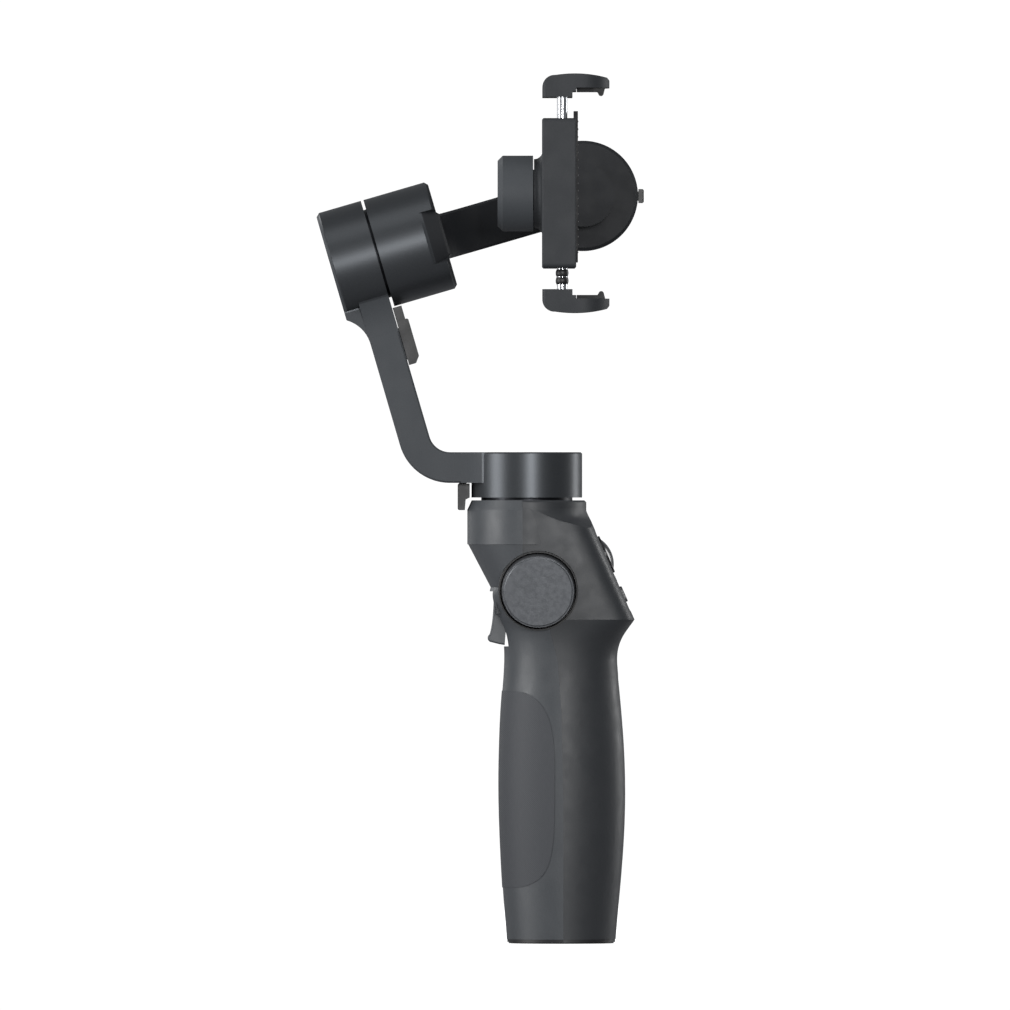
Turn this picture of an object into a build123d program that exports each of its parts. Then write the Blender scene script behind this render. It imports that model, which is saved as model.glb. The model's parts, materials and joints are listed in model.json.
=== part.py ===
from build123d import *
import os
from math import atan, cos, pi, radians, sin, tan

# Hand-held three-axis smartphone gimbal, in millimetres.
# The origin is the centre of the handle's flat foot; +Z is up, +X is the thumb side of the
# handle and -Y is the side that carries the focus wheel.

os.makedirs("parts", exist_ok=True)

# ---------------------------------------------------------------- driving dimensions
PAN_X = -12.0            # the pan axis stands forward of the handle's centre line
TILT_X = 7.8             # the tilt axis runs along Y through this point
TILT_Z = 261.3
ROLL_LEAN = 16.25        # degrees by which the roll axis falls towards its motor
MOTOR_R = 19.3
GAP = 0.95               # running gap between the two cans of a motor

WALL = 2.0               # handle shells
BASE_T = 1.4
FOOT_STEP = 0.4
COLLAR_R = 20.75
COLLAR_TOP = 154.35
COLLAR_FOOT = 139.0
COLLAR_BAND = 0.3        # the collar stands this proud of the head below it
FRONT_BEVEL = (3.3, 1.5)  # height and depth of the bevel round the collar's rim
REAR_BEVEL = (0.7, 0.7)
CHIN_Z = 112.8
CREASE = 3.0             # how far each half's widest section lies beyond the parting line

PAN_CAN_Z = COLLAR_TOP + GAP
ARM_T = 10.7             # pan arm, in its own plane
ARM_W = 20.0             # pan arm, across
ARM_TOP = 171.1
UPRIGHT_U = 75.3         # inner face of the pan arm's upright, along the roll axis from the tilt axis

ROLL_FRONT_U = 51.2      # roll rotor can, along the roll axis
ROLL_SPLIT_U = 74.35
ROLL_BACK_U = 91.7
ROLL_BAR_H = 16.0

TILT_ARM_Y = (52.5, 61.5)
TILT_CAN_Y = 70.5
TILT_BACK_Y = 85.0

HUB_R = 13.2
CLAMP_W = 32.0
BODY_BACK = -14.5        # clamp, measured from the tilt axis along X
BODY_FRONT = -2.6
BODY_H = 52.2
JAW_OUT = 41.6
JAW_REST = 33.45
GRIP_REST = 35.45
ROD_X = -7.5
ROD_R = 1.8
ROD_FIT = 0.06           # radial running clearance of a rod in its guide
UPPER_ROD_Y = 12.2
LOWER_ROD_Y = 8.2

MODULE = 0.6             # jaw racks and the pinion between them
TEETH = 12
PITCH_R = MODULE * TEETH / 2
BACKLASH = 0.16

# ---------------------------------------------------------------- reference planes
LEAN_C = cos(radians(ROLL_LEAN))
LEAN_S = sin(radians(ROLL_LEAN))
ROLL_DIR = (-LEAN_C, 0, -LEAN_S)       # from the tilt axis towards the roll motor
DOWN_DIR = (LEAN_S, 0, -LEAN_C)        # square to the roll axis, downwards
TILT_POINT = Vector(TILT_X, 0, TILT_Z)
SIDE_PLANE = Plane(origin=TILT_POINT, x_dir=ROLL_DIR, z_dir=(0, -1, 0))    # local x, y = u, v
PAN_SIDE = Plane(origin=(PAN_X, 0, 0), x_dir=(1, 0, 0), z_dir=(0, -1, 0))    # local x = radius from the axis
ARM_PLANE = Plane(origin=TILT_POINT, x_dir=ROLL_DIR, z_dir=DOWN_DIR)       # local x, y = u, Y


def roll_point(u, v=0.0):
    """A point in the XZ plane: u along the roll axis from the tilt axis, v below it."""
    return TILT_POINT + Vector(ROLL_DIR) * u + Vector(DOWN_DIR) * v


def across_roll(u, facing=1):
    """A plane square to the roll axis; facing 1 looks towards the roll motor's back."""
    return Plane(origin=roll_point(u), x_dir=(0, 1, 0), z_dir=Vector(ROLL_DIR) * facing)


def save(builder, name):
    builder.part.label = name
    export_step(builder.part, f"parts/{name}.step")


# ---------------------------------------------------------------- handle form
# Stations of each half: height, reach along X, crease, half width and squareness.
FRONT_STATIONS = [
    (0, -18.9, 0.7, 16.2),
    (14, -20.0, 0.7, 16.8),
    (28, -20.9, 0.7, 17.3),
    (42, -21.5, 0.7, 17.65),
    (56, -21.75, 0.7, 17.8),
    (70, -21.5, 0.4, 17.75),
    (84, -20.85, -0.2, 17.6),
    (98, -19.9, -1.2, 17.5),
    (110, -21.3, -4.2, 18.4),
    (124, -24.6, -10.2, 19.5),
]
REAR_STATIONS = [
    (0, 18.9, 0.7, 16.2, 2.0),
    (28, 21.3, 0.7, 17.3, 2.0),
    (56, 22.3, 0.7, 17.8, 2.0),
    (78, 21.2, 0.2, 17.6, 2.05),
    (92, 19.9, -0.5, 17.4, 2.2),
    (99, 19.5, -1.3, 17.5, 2.4),
    (105, 20.6, -2.6, 17.9, 2.9),
    (109, 22.8, -3.9, 18.3, 3.8),
    (CHIN_Z, 25.4, -5.2, 18.8, 6.0),
]
WAIST = 4                              # the station where the grip ends and the head begins to swell
PARTING = [(0.7, -5), (0.7, 50), (0.1, 80), (-1.2, 98), (-4.2, 110), (-10.2, 124), (-13.5, 134), (-13.5, 160)]
FACE_RUN = (-15.2, 34.5)               # the thumb face climbs from the chin by this much in X and Z
FACE_RISE = 40.0
HEAD_TOP_W = 20.75


def lobe(height, centre, reach, half_width, power=2.0):
    """Half of a superellipse in a level plane, from its centre line out to its reach."""
    side = 1 if reach > centre else -1
    rim = []
    for step in range(13):
        turn = pi * (step / 12 - 0.5)
        out = max(cos(turn), 0) ** (2 / power)
        wide = abs(sin(turn)) ** (2 / power)
        rim.append((centre + (reach - centre) * out, half_width * wide * (1 if turn > 0 else -1)))
    with BuildSketch(Plane.XY.offset(height)) as outline:
        with BuildLine():
            Spline(rim, tangents=[(side, 0), (-side, 0)], tangent_scalars=[1, 1])
            Line(rim[-1], rim[0])
        make_face()
    return outline.sketch


def station(height, reach, crease, half_width, power=2.0, inset=0.0):
    """A lobe that is half_width wide where the parting line crosses it."""
    side = 1 if reach > crease else -1
    centre = crease - side * CREASE
    length = abs(reach - centre)
    full = half_width / (1 - (CREASE / length) ** power) ** (1 / power)
    return lobe(height, centre, reach - side * inset, full - inset, power)


def parting_side(side):
    """Everything on one side of the line where the two shells meet."""
    with BuildPart() as block:
        with BuildSketch(Plane.XZ):
            with BuildLine():
                Polyline(*PARTING, (side * 60, 160), (side * 60, -5), PARTING[0])
            make_face()
        extrude(amount=40, both=True)
    return block.part


def front_half(inset, top=COLLAR_TOP):
    with BuildPart() as half:
        sections = [station(*row, inset=inset) for row in FRONT_STATIONS]
        loft(sections=sections)
        neck = COLLAR_R - COLLAR_BAND - inset
        loft(sections=[sections[-1], lobe(COLLAR_FOOT, PAN_X, PAN_X - neck, neck)], ruled=True)
        with BuildSketch(Plane.XY.offset(COLLAR_FOOT)):
            with Locations((PAN_X, 0)):
                Circle(COLLAR_R - inset)
        extrude(amount=top - COLLAR_FOOT)
        add(parting_side(-1), mode=Mode.INTERSECT)
    return half.part


def foot_outline(inset):
    """The handle's section at its foot."""
    front = FRONT_STATIONS[0]
    rear = REAR_STATIONS[0]
    crease = front[2]
    with BuildSketch() as outline:
        add(station(*front, inset=inset))
        with Locations((crease, 0)):
            Rectangle(60, 60, align=(Align.MIN, Align.CENTER), mode=Mode.SUBTRACT)
        with BuildSketch(mode=Mode.PRIVATE) as back:
            add(station(*rear, inset=inset))
            with Locations((crease, 0)):
                Rectangle(60, 60, align=(Align.MAX, Align.CENTER), mode=Mode.SUBTRACT)
        add(back.sketch)
    return outline.sketch


def collar_scoop(inset):
    """The hollow sweep around the collar that takes the corners off the head."""
    r = COLLAR_R - inset
    drop = inset
    with BuildPart() as scoop:
        with BuildSketch(PAN_SIDE):
            with BuildLine():
                Line((r, 170), (r, 151.5 - drop))
                ThreePointArc((r, 151.5 - drop), (r + 1.25, 148.4 - drop), (r + 3.85, 146.4 - drop))
                Line((r + 3.85, 146.4 - drop), (r + 35.0, 126.4 - drop))
                Line((r + 35.0, 126.4 - drop), (r + 35.0, 170))
                Line((r + 35.0, 170), (r, 170))
            make_face()
        revolve(axis=Axis((PAN_X, 0, 0), (0, 0, 1)))
    return scoop.part


def collar_bevel(height, depth):
    """The ring that takes the corner off the collar's rim."""
    with BuildPart() as ring:
        with BuildSketch(PAN_SIDE):
            with BuildLine():
                Polyline(
                    (COLLAR_R + 1, COLLAR_TOP - height - height / depth),
                    (COLLAR_R - depth, COLLAR_TOP),
                    (COLLAR_R - depth, COLLAR_TOP + 1),
                    (COLLAR_R + 1, COLLAR_TOP + 1),
                    close=True,
                )
            make_face()
        revolve(axis=Axis((PAN_X, 0, 0), (0, 0, 1)))
    return ring.part


def rear_half(inset, top=COLLAR_TOP):
    chin = REAR_STATIONS[-1]
    shift = FACE_RUN[0] * FACE_RISE / FACE_RUN[1]
    with BuildPart() as half:
        sections = [station(*row, inset=inset) for row in REAR_STATIONS]
        loft(sections=sections[:WAIST + 1])
        loft(sections=sections[WAIST:])
        crown = station(chin[0] + FACE_RISE, chin[1] + shift, chin[2] + shift, HEAD_TOP_W, chin[4], inset)
        loft(sections=[sections[-1], crown], ruled=True)
        add(collar_scoop(inset), mode=Mode.SUBTRACT)
        with BuildSketch(Plane.XY.offset(COLLAR_FOOT)):
            with Locations((PAN_X, 0)):
                Circle(COLLAR_R - inset)
        extrude(amount=top - COLLAR_FOOT)
        with BuildSketch(Plane.XY.offset(top)):
            Rectangle(200, 200)
        extrude(amount=40, mode=Mode.SUBTRACT)
        add(parting_side(1), mode=Mode.INTERSECT)
    return half.part


# ---------------------------------------------------------------- handle details
WHEEL_X = -8.05
WHEEL_Z = 122.9
WHEEL_Y = -19.3                        # the side panel's face at the wheel
WHEEL_TIP = 5.5                        # degrees the wheel's axis points below level
WHEEL_PLANE = Plane(
    origin=(WHEEL_X, WHEEL_Y, WHEEL_Z),
    x_dir=(1, 0, 0),
    z_dir=(0, -cos(radians(WHEEL_TIP)), -sin(radians(WHEEL_TIP))),
)
SEAT_R = 13.9
WHEEL_R = 13.1
CAP_R = 12.0
WHEEL_PROUD = 5.4
WHEEL_SHAFT_R = 2.0
SEAT_BOSS_R = 5.0

FACE_DIR = Vector(FACE_RUN[0], 0, FACE_RUN[1]).normalized()
FACE_OUT = Vector(FACE_DIR.Z, 0, -FACE_DIR.X)
FACE_FOOT = Vector(REAR_STATIONS[-1][1], 0, CHIN_Z)


def on_face(climb, across=0.0):
    """A plane on the slanted thumb face; local x runs across, local y climbs the face."""
    return Plane(origin=FACE_FOOT + FACE_DIR * climb + Vector(0, across, 0), x_dir=(0, 1, 0), z_dir=FACE_OUT)


JOYSTICK = on_face(24.7)
BEZEL_R = 6.95
STICK_PIVOT = 3.0                      # the thumb stick turns about a point this far under the face
BUTTONS = {"record_button": on_face(9.6, -5.2), "mode_button": on_face(9.6, 5.2)}
BUTTON_SIZE = (8.6, 6.2)
BUTTON_R = 1.6
BUTTON_UNDER = -0.45                   # underside of a button's flange, clear of its ledge when pressed
STATUS = on_face(15.6)

PAD_Z = (19.4, 88.0)
PAD_T = 1.0
PAD_PROUD = 0.2
PAD_OUTLINE = [
    (-30, 88.0),
    (-18.0, 88.0),
    (-11.0, 86.6),
    (-6.2, 82.0),
    (-3.2, 73.0),
    (-2.4, 60.0),
    (-2.5, 45.0),
    (-3.6, 31.0),
    (-6.4, 24.0),
    (-12.0, 20.2),
    (-18.0, 19.4),
    (-30, 19.4),
]

TRIGGER_W = 13.0
TRIGGER_PIN = (-20.2, 118.9)
PIN_R = 1.2

TRIPOD_R = 3.1
TRIPOD_DEPTH = 9.0
FOOT_SCREWS = [(-10.5, -8.0), (-10.5, 8.0), (10.5, -8.0), (10.5, 8.0)]

FLANGE_R = 15.9
FLANGE_T = 3.7
FLANGE_BORE = 16.0
FLANGE_SEAT = 3.15                     # depth of the flange's ledge behind the split line
TUBE_R = 6.4
BEARING_R = 4.5
SHAFT_R = 2.0
SHAFT_FIT = 0.03
CORE_R = 13.4
MAGNET_R = (14.0, 16.4)
CAN_WALL = 2.2


def pad_region():
    with BuildPart() as region:
        with BuildSketch(Plane.XZ):
            with BuildLine():
                Line(PAD_OUTLINE[0], PAD_OUTLINE[1])
                Spline(PAD_OUTLINE[1:-1], tangents=[(1, 0), (-1, 0)], tangent_scalars=[1, 1])
                Line(PAD_OUTLINE[-2], PAD_OUTLINE[-1])
                Line(PAD_OUTLINE[-1], PAD_OUTLINE[0])
            make_face()
        extrude(amount=30, both=True)
    return region.part


def skin(outer, inner):
    """The layer of the front half between two insets, inside the grip pad's outline."""
    with BuildPart() as layer:
        add(front_half(outer))
        add(front_half(inner), mode=Mode.SUBTRACT)
        add(pad_region(), mode=Mode.INTERSECT)
    return layer.part


def disc(plane, radius, start, end, bore=0.0):
    """A disc or ring standing on a plane from start to end along its normal."""
    with BuildPart() as piece:
        with BuildSketch(plane.offset(start)):
            Circle(radius)
            if bore > 0:
                Circle(bore, mode=Mode.SUBTRACT)
        extrude(amount=end - start)
    return piece.part


def slab(plane, width, height, start, end, corner=0.0):
    """A block with rounded corners standing on a plane from start to end along its normal."""
    with BuildPart() as piece:
        with BuildSketch(plane.offset(start)):
            if corner > 0:
                RectangleRounded(width, height, corner)
            else:
                Rectangle(width, height)
        extrude(amount=end - start)
    return piece.part


def profile_block(plane, points, half_width):
    """A polygon drawn on a plane and thickened evenly to both sides of it."""
    with BuildPart() as piece:
        with BuildSketch(plane):
            with BuildLine():
                Polyline(*points, close=True)
            make_face()
        extrude(amount=half_width, both=True)
    return piece.part


PAN_SPLIT = Plane(origin=(PAN_X, 0, PAN_CAN_Z))
TRIGGER_OPENING = [(-32, 103.4), (-16.5, 103.4), (-16.5, 112), (-15.5, 122.6), (-32, 122.6)]


def handle_cuts():
    """Every opening that both shells share."""
    with BuildPart() as cuts:
        add(disc(WHEEL_PLANE, SEAT_R, -7.0, 8.0))
        add(disc(WHEEL_PLANE, SEAT_BOSS_R + 0.1, -9.5, -6.5))
        add(disc(PAN_SPLIT, FLANGE_BORE, -FLANGE_SEAT, 5))
        add(disc(PAN_SPLIT, 12.5, -8, 5))
        with BuildSketch(Plane.XY.offset(-5)):
            Rectangle(100, 100)
        extrude(amount=5 + BASE_T)
    return cuts.part


def cavity():
    with BuildPart() as space:
        add(front_half(WALL, top=COLLAR_TOP - 4.4))
        add(rear_half(WALL, top=COLLAR_TOP - 4.4))
        add(disc(WHEEL_PLANE, SEAT_R + 1.4, -9.0, 8.0), mode=Mode.SUBTRACT)
        for x, y in FOOT_SCREWS:
            add(disc(Plane.XY.move(Location((x, y, 0))), 3.2, BASE_T, 11.0), mode=Mode.SUBTRACT)
    return space.part


CAVITY = cavity()
SHARED_CUTS = handle_cuts()


def foot_screw_holes(radius, depth):
    with BuildPart() as holes:
        for x, y in FOOT_SCREWS:
            add(disc(Plane.XY.move(Location((x, y, 0))), radius, -1.0, depth))
    return holes.part


with BuildPart() as front_shell:
    add(front_half(0))
    add(CAVITY, mode=Mode.SUBTRACT)
    add(SHARED_CUTS, mode=Mode.SUBTRACT)
    add(skin(-1.0, PAD_T), mode=Mode.SUBTRACT)
    add(foot_screw_holes(0.9, 10.0), mode=Mode.SUBTRACT)
    for side in (-1, 1):
        cheek = Plane(origin=(-19.6, side * (TRIGGER_W / 2 + 1.65), 118.4), x_dir=(1, 0, 0), z_dir=(0, -1, 0))
        add(slab(cheek, 6.0, 7.0, -1.25, 1.25))
    add(profile_block(Plane.XZ, TRIGGER_OPENING, TRIGGER_W / 2 + 0.4), mode=Mode.SUBTRACT)
    with BuildSketch(Plane.XZ):
        with Locations(TRIGGER_PIN):
            Circle(PIN_R + 0.05)
    extrude(amount=TRIGGER_W / 2 + 1.9, both=True, mode=Mode.SUBTRACT)
    add(collar_bevel(*FRONT_BEVEL), mode=Mode.SUBTRACT)
save(front_shell, "front_shell")

with BuildPart() as rear_shell:
    add(rear_half(0))
    add(CAVITY, mode=Mode.SUBTRACT)
    add(SHARED_CUTS, mode=Mode.SUBTRACT)
    add(foot_screw_holes(0.9, 10.0), mode=Mode.SUBTRACT)
    add(slab(on_face(18.6), 22.0, 31.0, -1.1, 6.0, corner=3.0), mode=Mode.SUBTRACT)
    add(disc(JOYSTICK, BEZEL_R, -8.0, 4.0), mode=Mode.SUBTRACT)
    for plane in BUTTONS.values():
        well = slab(plane, BUTTON_SIZE[0] - 1.2, BUTTON_SIZE[1] - 1.2, -6.0, 2.0, corner=1.2)
        add(well, mode=Mode.SUBTRACT)
    add(disc(STATUS, 1.0, -6.0, 2.0), mode=Mode.SUBTRACT)
    with BuildSketch(Plane.XZ.offset(-26)):
        with Locations((4.0, 130.0)):
            RectangleRounded(8.4, 3.2, 1.2)
    extrude(amount=14, mode=Mode.SUBTRACT)
    add(collar_bevel(*REAR_BEVEL), mode=Mode.SUBTRACT)
save(rear_shell, "rear_shell")

with BuildPart() as grip_pad:
    add(skin(-PAD_PROUD, PAD_T))
save(grip_pad, "grip_pad")

with BuildPart() as base_cap:
    with BuildSketch():
        add(foot_outline(0.6))
    extrude(amount=FOOT_STEP)
    with BuildSketch(Plane.XY.offset(FOOT_STEP)):
        add(foot_outline(0.1))
    extrude(amount=BASE_T - FOOT_STEP)
    add(disc(Plane.XY, 8.0, BASE_T, 12.5))
    add(disc(Plane.XY, 5.0, -1.0, 11.0), mode=Mode.SUBTRACT)
    with Locations([(x, y, 0) for x, y in FOOT_SCREWS]):
        with Locations(Location((0, 0, 0), (180, 0, 0))):
            CounterSinkHole(radius=1.15, counter_sink_radius=2.1, depth=BASE_T + 1)
save(base_cap, "base_cap")

with BuildPart() as tripod_insert:
    add(disc(Plane.XY, 5.0, 0.0, 11.0))
    add(disc(Plane.XY, TRIPOD_R, -1.0, TRIPOD_DEPTH), mode=Mode.SUBTRACT)
save(tripod_insert, "tripod_insert")

with BuildPart() as base_screws:
    for x, y in FOOT_SCREWS:
        with BuildSketch(Plane(origin=(x, y, 0), x_dir=(1, 0, 0), z_dir=(0, -1, 0))):
            with BuildLine():
                Polyline((0, 0.15), (1.9, 0.15), (1.0, 1.1), (0.88, 1.3), (0.88, 8.6), (0.3, 9.2), (0, 9.2))
                Line((0, 9.2), (0, 0.15))
            make_face()
        revolve(axis=Axis((x, y, 0), (0, 0, 1)))
        add(slab(Plane.XY.move(Location((x, y, 0))), 1.9, 0.4, 0.0, 0.7), mode=Mode.SUBTRACT)
        add(slab(Plane.XY.move(Location((x, y, 0))), 0.4, 1.9, 0.0, 0.7), mode=Mode.SUBTRACT)
save(base_screws, "base_screws")


# ---------------------------------------------------------------- inside the handle
CELL_R = 8.5
CELLS = [(-8.7, 0), (8.7, 0)]
CELL_Z = (16.0, 81.0)

with BuildPart() as battery_cells:
    for x, y in CELLS:
        with BuildSketch(Plane.XY.offset(CELL_Z[0])):
            with Locations((x, y)):
                Circle(CELL_R)
        extrude(amount=CELL_Z[1] - CELL_Z[0])
        with BuildSketch(Plane.XY.offset(CELL_Z[1])):
            with Locations((x, y)):
                Circle(2.6)
        extrude(amount=1.0)
save(battery_cells, "battery_cells")

with BuildPart() as battery_tray:
    for bottom in (13.2, 82.2):
        with BuildSketch(Plane.XY.offset(bottom)):
            RectangleRounded(30.0, 20.4, 7.0)
        extrude(amount=2.6)
    with BuildSketch(Plane.XY.offset(13.2)):
        for side in (-1, 1):
            with Locations((0, side * 9.2)):
                Rectangle(5.0, 2.0)
    extrude(amount=71.6)
    with BuildSketch(Plane.XY.offset(81.0)):
        with Locations(*CELLS):
            Circle(3.0)
    extrude(amount=6.0, mode=Mode.SUBTRACT)
save(battery_tray, "battery_tray")

BOARD_DEPTH = 10.0
with BuildPart() as main_board:
    add(slab(on_face(17.0), 20.4, 26.0, -BOARD_DEPTH - 1.2, -BOARD_DEPTH))
    add(slab(on_face(21.0, -4.0), 7.0, 7.0, -BOARD_DEPTH - 2.4, -BOARD_DEPTH - 1.2))
    for across in (-5.2, 5.2):
        add(slab(on_face(9.6, across), 4.4, 4.4, -BOARD_DEPTH, -5.4))
    add(slab(on_face(28.0, 7.0), 6.0, 3.0, -BOARD_DEPTH, -BOARD_DEPTH + 1.4))
save(main_board, "main_board")

USB_Y = 17.4
with BuildPart() as usb_port:
    with BuildSketch(Plane.XZ.offset(-USB_Y)):
        with Locations((4.0, 130.0)):
            RectangleRounded(8.0, 2.9, 1.1)
    extrude(amount=6.5)
    with BuildSketch(Plane.XZ.offset(-USB_Y)):
        with Locations((4.0, 130.0)):
            RectangleRounded(7.2, 2.1, 0.8)
    extrude(amount=5.5, mode=Mode.SUBTRACT)
    with BuildSketch(Plane.XZ.offset(-USB_Y + 1.2)):
        with Locations((4.0, 130.0)):
            Rectangle(5.4, 0.6)
    extrude(amount=5.0)
save(usb_port, "usb_port")

# ---------------------------------------------------------------- thumb controls
with BuildPart() as control_panel:
    add(slab(on_face(18.6), 21.8, 30.8, -1.05, -0.05, corner=2.9))
    add(disc(JOYSTICK, BEZEL_R + 0.05, -3, 3), mode=Mode.SUBTRACT)
    for plane in BUTTONS.values():
        add(slab(plane, BUTTON_SIZE[0], BUTTON_SIZE[1], -3, 3, corner=BUTTON_R), mode=Mode.SUBTRACT)
    add(disc(STATUS, 1.0, -3, 3), mode=Mode.SUBTRACT)
save(control_panel, "control_panel")

with BuildPart() as status_light:
    add(disc(STATUS, 0.95, -2.4, 0.05))
save(status_light, "status_light")

with BuildPart() as joystick_bezel:
    add(disc(JOYSTICK, BEZEL_R - 0.05, -6.4, 0.65, bore=6.4))
    add(disc(JOYSTICK, BEZEL_R - 0.05, -7.4, -6.4))
    rims = joystick_bezel.edges().filter_by(GeomType.CIRCLE)
    chamfer(rims.sort_by_distance(JOYSTICK.offset(3).origin)[:2], length=0.2)
save(joystick_bezel, "joystick_bezel")

STICK_CAP_R = 5.6
with BuildPart() as joystick_ring:
    add(disc(JOYSTICK, 4.4, -STICK_PIVOT - 0.6, -STICK_PIVOT + 0.6, bore=3.3))
    for side in (-1, 1):
        pivot = JOYSTICK.offset(-STICK_PIVOT).origin
        trunnion = Plane(origin=pivot, x_dir=JOYSTICK.z_dir, z_dir=(0, side, 0))
        add(disc(trunnion, 0.5, 4.2, 6.1))
save(joystick_ring, "joystick_ring")

with BuildPart() as joystick_cap:
    with BuildSketch(Plane(origin=JOYSTICK.origin, x_dir=(0, 1, 0), z_dir=-FACE_DIR)):
        with BuildLine():
            Polyline((0, -4.6), (1.6, -4.6), (1.6, -0.9), (5.2, -0.9), (STICK_CAP_R, -0.5))
            Line((STICK_CAP_R, -0.5), (STICK_CAP_R, 0.6))
            RadiusArc((STICK_CAP_R, 0.6), (0, 2.2), -(STICK_CAP_R ** 2 + 1.6 ** 2) / 3.2)
            Line((0, 2.2), (0, -4.6))
        make_face()
    revolve(axis=Axis(JOYSTICK.origin, JOYSTICK.z_dir))
save(joystick_cap, "joystick_cap")

for button_name, plane in BUTTONS.items():
    with BuildPart() as button:
        width, height = BUTTON_SIZE[0] - 0.5, BUTTON_SIZE[1] - 0.5
        add(slab(plane, width, height, BUTTON_UNDER, 0.65, corner=BUTTON_R - 0.25))
        fillet(button.faces().sort_by_distance(plane.offset(5).origin)[0].edges(), radius=0.3)
        add(slab(plane, 3.0, 3.0, -4.6, BUTTON_UNDER))
    save(button, button_name)

# ---------------------------------------------------------------- focus wheel
with BuildPart() as wheel_seat:
    add(disc(WHEEL_PLANE, SEAT_R - 0.05, -6.9, 0.9, bore=SEAT_R - 0.55))
    add(disc(WHEEL_PLANE, SEAT_R - 0.05, -6.9, -2.4, bore=WHEEL_SHAFT_R + 0.05))
    add(disc(WHEEL_PLANE, SEAT_BOSS_R, -12.0, -6.9, bore=WHEEL_SHAFT_R + 0.05))
save(wheel_seat, "wheel_seat")

KNURLS = 60
with BuildPart() as focus_wheel_rim:
    with BuildSketch(WHEEL_PLANE.offset(-2.0)):
        Circle(WHEEL_R)
    extrude(amount=WHEEL_PROUD + 1.2, taper=6)
    with BuildSketch(WHEEL_PLANE.offset(-2.0)):
        with PolarLocations(WHEEL_R + 0.05, KNURLS):
            Circle(0.28)
    extrude(amount=WHEEL_PROUD + 1.2, taper=0, mode=Mode.SUBTRACT)
    add(disc(WHEEL_PLANE, WHEEL_SHAFT_R, -11.6, -2.0))
save(focus_wheel_rim, "focus_wheel_rim")

with BuildPart() as focus_wheel_cap:
    add(disc(WHEEL_PLANE, CAP_R, WHEEL_PROUD - 0.8, WHEEL_PROUD))
    chamfer(focus_wheel_cap.faces().sort_by_distance(WHEEL_PLANE.offset(20).origin)[0].edges(), length=0.35)
save(focus_wheel_cap, "focus_wheel_cap")

# ---------------------------------------------------------------- trigger
TRIGGER_FACE = [(-23.6, 121.6), (-23.65, 117.5), (-24.1, 112.0), (-25.0, 107.6)]

with BuildPart() as trigger_lever:
    with BuildSketch(Plane.XZ):
        with BuildLine():
            Line((-18.6, 121.6), (-23.6, 121.6))
            Spline(TRIGGER_FACE, tangents=[(0.05, -1), (-0.3, -1)])
            ThreePointArc((-25.0, 107.6), (-25.45, 105.6), (-24.4, 104.9))
            Polyline((-24.4, 104.9), (-21.6, 104.2), (-19.7, 103.9), (-19.3, 109.0), (-18.6, 121.6))
        make_face()
    extrude(amount=TRIGGER_W / 2, both=True)
    front_edges = trigger_lever.edges().filter_by(Axis.Y, reverse=True).filter_by_position(Axis.X, -26, -23.7)
    fillet(front_edges, radius=0.6)
    with BuildSketch(Plane.XZ):
        with Locations(TRIGGER_PIN):
            Circle(PIN_R + 0.05)
    extrude(amount=TRIGGER_W, both=True, mode=Mode.SUBTRACT)
    with BuildSketch(Plane.XZ):
        with Locations(TRIGGER_PIN):
            Circle(2.7)
    extrude(amount=2.6, both=True, mode=Mode.SUBTRACT)
save(trigger_lever, "trigger_lever")

with BuildPart() as trigger_pin:
    with BuildSketch(Plane.XZ):
        with Locations(TRIGGER_PIN):
            Circle(PIN_R)
    extrude(amount=TRIGGER_W / 2 + 1.7, both=True)
save(trigger_pin, "trigger_pin")

with BuildPart() as trigger_switch:
    add(profile_block(Plane.XZ, [(-16.9, 105.6), (-13.2, 105.6), (-13.2, 112.4), (-16.4, 112.4)], 3.2))
save(trigger_switch, "trigger_switch")

COIL_R = 1.95
COIL_H = 4.2
with BuildPart() as trigger_spring:
    start = Vector(TRIGGER_PIN[0], -COIL_H / 2, TRIGGER_PIN[1])
    with BuildLine() as coil:
        Helix(pitch=0.7, height=COIL_H, radius=COIL_R, center=start, direction=(0, 1, 0))
    with BuildSketch(Plane(origin=coil.line @ 0, z_dir=coil.line % 0)):
        Circle(0.26)
    sweep(path=coil.line, is_frenet=True)
save(trigger_spring, "trigger_spring")


# ---------------------------------------------------------------- gimbal motors
def motor_mount(base, depth):
    """Flange seated behind the split line, with the tube that carries the bearings."""
    with BuildPart() as mount:
        add(disc(base, FLANGE_R, -FLANGE_SEAT, FLANGE_T - FLANGE_SEAT))
        add(disc(base, TUBE_R, -FLANGE_SEAT - 1.8, depth - 4.2))
        add(disc(base, BEARING_R, -20, 40), mode=Mode.SUBTRACT)
        with BuildSketch(base.offset(FLANGE_T - FLANGE_SEAT)):
            with PolarLocations(12.9, 3):
                Circle(1.1)
        extrude(amount=-FLANGE_T, mode=Mode.SUBTRACT)
    return mount


def motor_stator(base, depth):
    """Laminated star with twelve wound teeth."""
    start = 1.9
    length = depth - 4.4 - start
    with BuildPart() as stator:
        with BuildSketch(base.offset(start)):
            Circle(8.2)
            with PolarLocations(10.4, 12):
                Rectangle(5.0, 1.6)
            with BuildSketch(mode=Mode.PRIVATE) as shoes:
                Circle(CORE_R)
                Circle(CORE_R - 0.9, mode=Mode.SUBTRACT)
                with PolarLocations(CORE_R, 12, start_angle=15):
                    Rectangle(4.0, 1.2, mode=Mode.SUBTRACT)
            add(shoes.sketch)
            Circle(TUBE_R, mode=Mode.SUBTRACT)
        extrude(amount=length)
        with BuildSketch(base.offset(start + 0.2)):
            with PolarLocations(10.3, 12):
                Rectangle(3.4, 3.2)
        extrude(amount=length - 0.4)
    return stator


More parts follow.
